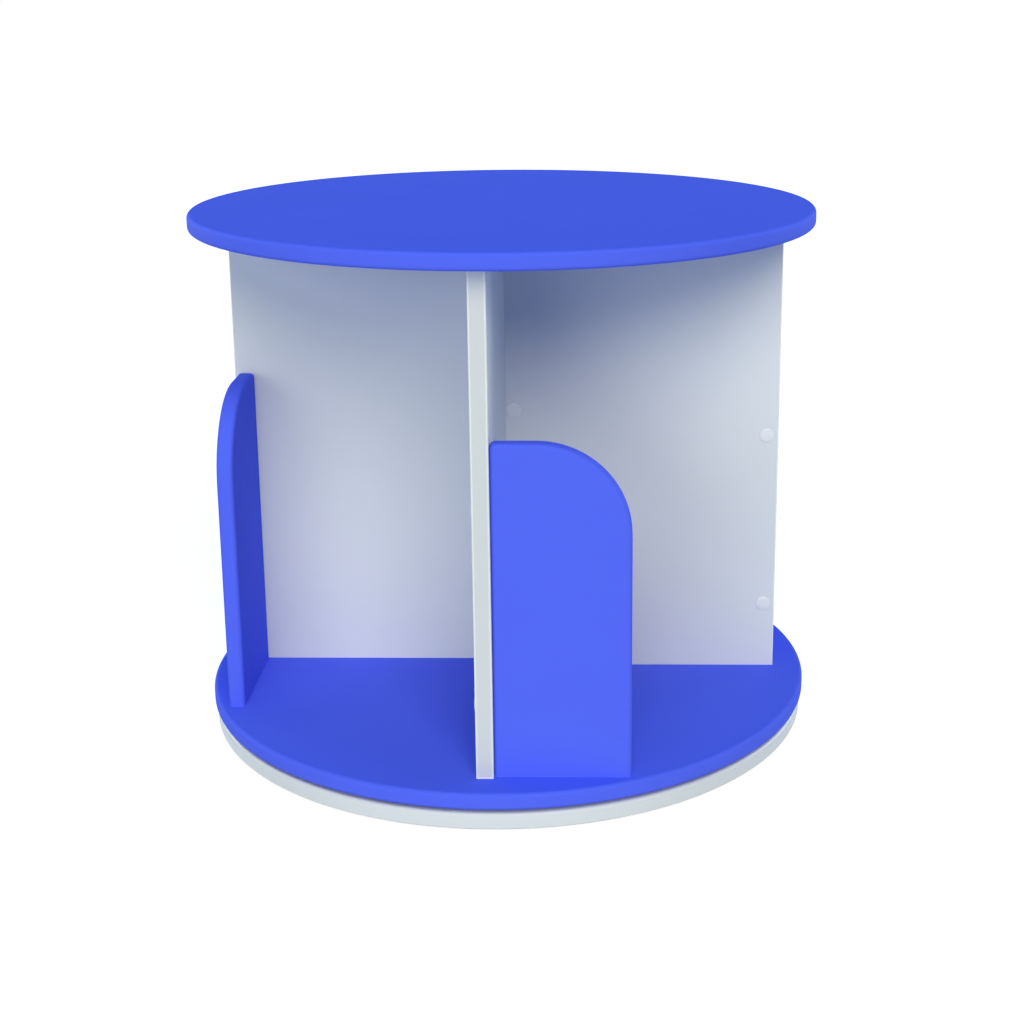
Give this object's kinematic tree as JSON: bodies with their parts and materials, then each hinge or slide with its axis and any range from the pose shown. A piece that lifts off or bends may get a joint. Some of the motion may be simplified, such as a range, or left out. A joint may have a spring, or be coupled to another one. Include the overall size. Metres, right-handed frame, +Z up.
{
  "type": "revolving desktop bookcase",
  "caption": "Round desktop bookcase with open quarter compartments between a top board and a shelf that turns freely on a ring bearing in a flat base.",
  "frame": {"origin": "centre of the base at the level that the foot pads stand on", "axes": "+Z up along the turning axis; -Y is the front, towards the edge of the front divider; +X is to the right seen from the front"},
  "size_m": [0.46, 0.46, 0.391],
  "materials": {
    "blue_board": "blue satin paint on fibreboard",
    "white_board": "white melamine-faced board",
    "white_band": "white plastic edge band",
    "white_cap": "moulded white plastic",
    "bearing_alloy": "turned aluminium",
    "ball_steel": "polished bearing steel",
    "plated_steel": "zinc-plated steel",
    "zinc_casting": "die-cast zinc alloy",
    "cage_nylon": "natural nylon",
    "beech_dowel": "plain beech",
    "foot_foam": "black foam rubber"
  },
  "bodies": {
    "base": {"base_board": "white_board", "foot_pads": "foot_foam", "bearing_outer_ring": "bearing_alloy", "base_bolts": "plated_steel"},
    "ball_set": {"ball_cage": "cage_nylon", "bearing_balls": "ball_steel"},
    "carousel": {"bearing_inner_ring": "bearing_alloy", "ring_screws": "plated_steel", "shelf_board": "blue_board", "divider_front": "white_board", "divider_right": "white_board", "divider_back": "white_board", "divider_left": "white_board", "edge_band_front": "white_band", "edge_band_right": "white_band", "edge_band_back": "white_band", "edge_band_left": "white_band", "fence_front": "blue_board", "fence_right": "blue_board", "fence_back": "blue_board", "fence_left": "blue_board", "top_board": "blue_board", "shelf_dowels": "beech_dowel", "shelf_screws": "plated_steel", "fence_dowels": "beech_dowel", "fence_screws": "plated_steel", "centre_screws": "plated_steel", "top_dowels": "beech_dowel", "cam_locks": "zinc_casting", "cam_bolts": "plated_steel", "screw_caps": "white_cap", "cam_caps": "white_cap"}
  },
  "joints": [
    {"name": "revolve", "type": "hinge", "parent": "base", "child": "carousel", "pos_m": [0, 0, 0.013], "axis": [0, 0, 1], "continuous": true},
    {"name": "cage_roll", "type": "hinge", "parent": "base", "child": "ball_set", "pos_m": [0, 0, 0.013], "axis": [0, 0, 1], "continuous": true}
  ],
  "couplings": [
    {"joint": "cage_roll", "follows": "revolve", "ratio": 0.494}
  ]
}
